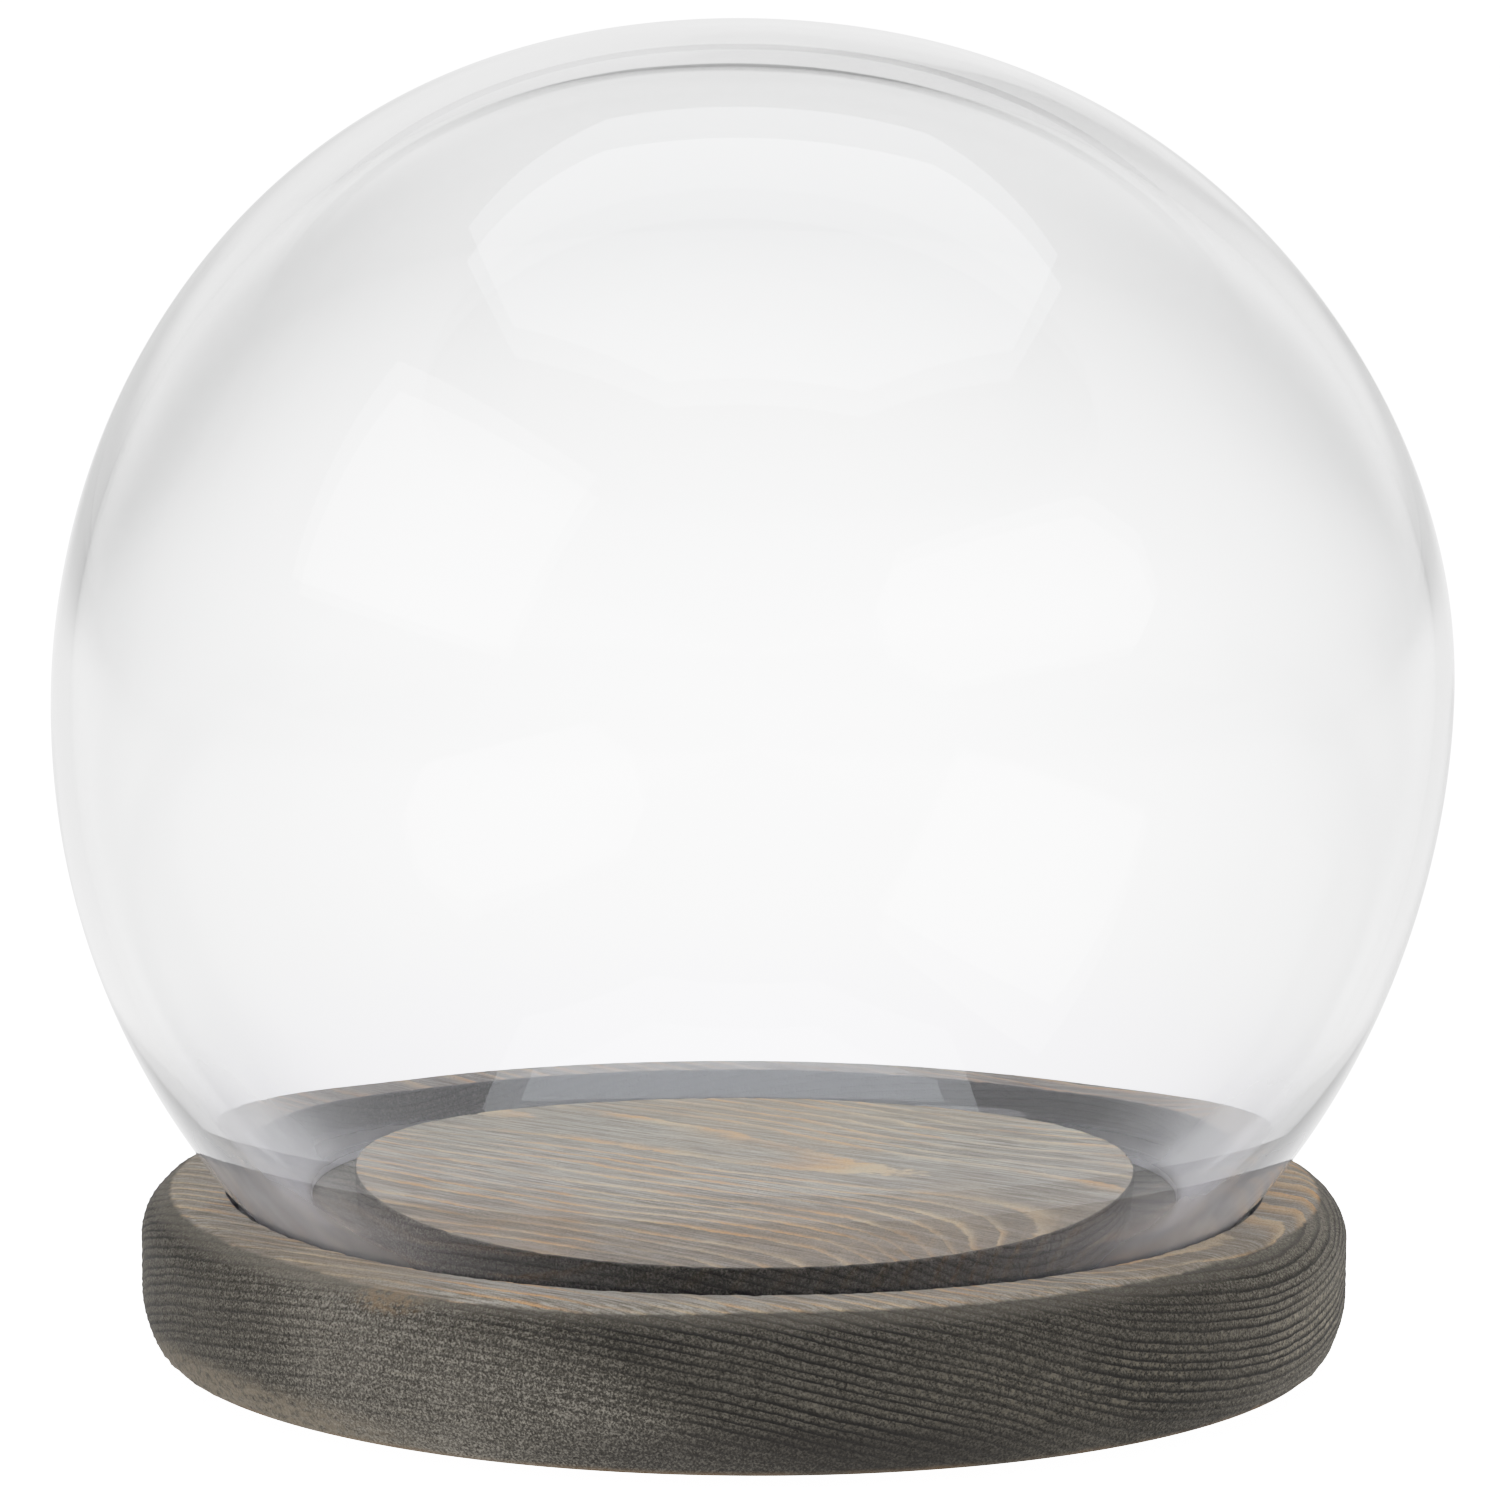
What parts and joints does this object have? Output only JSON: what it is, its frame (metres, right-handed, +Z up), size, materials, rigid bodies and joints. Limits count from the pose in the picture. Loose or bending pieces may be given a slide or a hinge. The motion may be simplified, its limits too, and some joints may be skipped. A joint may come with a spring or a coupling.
{
  "type": "display cloche",
  "caption": "Round blown glass globe cloche that drops into an annular groove in a turned wooden base with a flat display plateau; the globe lifts straight off.",
  "frame": {"origin": "centre of the resting plane, under the turning axis of the base", "axes": "+Z up along the axis of the globe and the base, +X to the right and -Y towards the viewer; the board's grain runs roughly along X"},
  "size_m": [0.22, 0.22, 0.2113],
  "materials": {
    "clear_glass": "clear blown soda-lime glass, fire polished",
    "stained_wood": "grey-brown stain on open-grained softwood, matt, worn lighter on the edges",
    "pad_felt": "dense black felt"
  },
  "bodies": {
    "base": {"wood_base": "stained_wood", "foot_pad_front_left": "pad_felt", "foot_pad_front_right": "pad_felt", "foot_pad_back_left": "pad_felt", "foot_pad_back_right": "pad_felt"},
    "dome": {"glass_dome": "clear_glass"}
  },
  "joints": [
    {"name": "dome_lift", "type": "slide", "parent": "base", "child": "dome", "axis": [0, 0, 1], "range_m": [0, 0.24]}
  ]
}
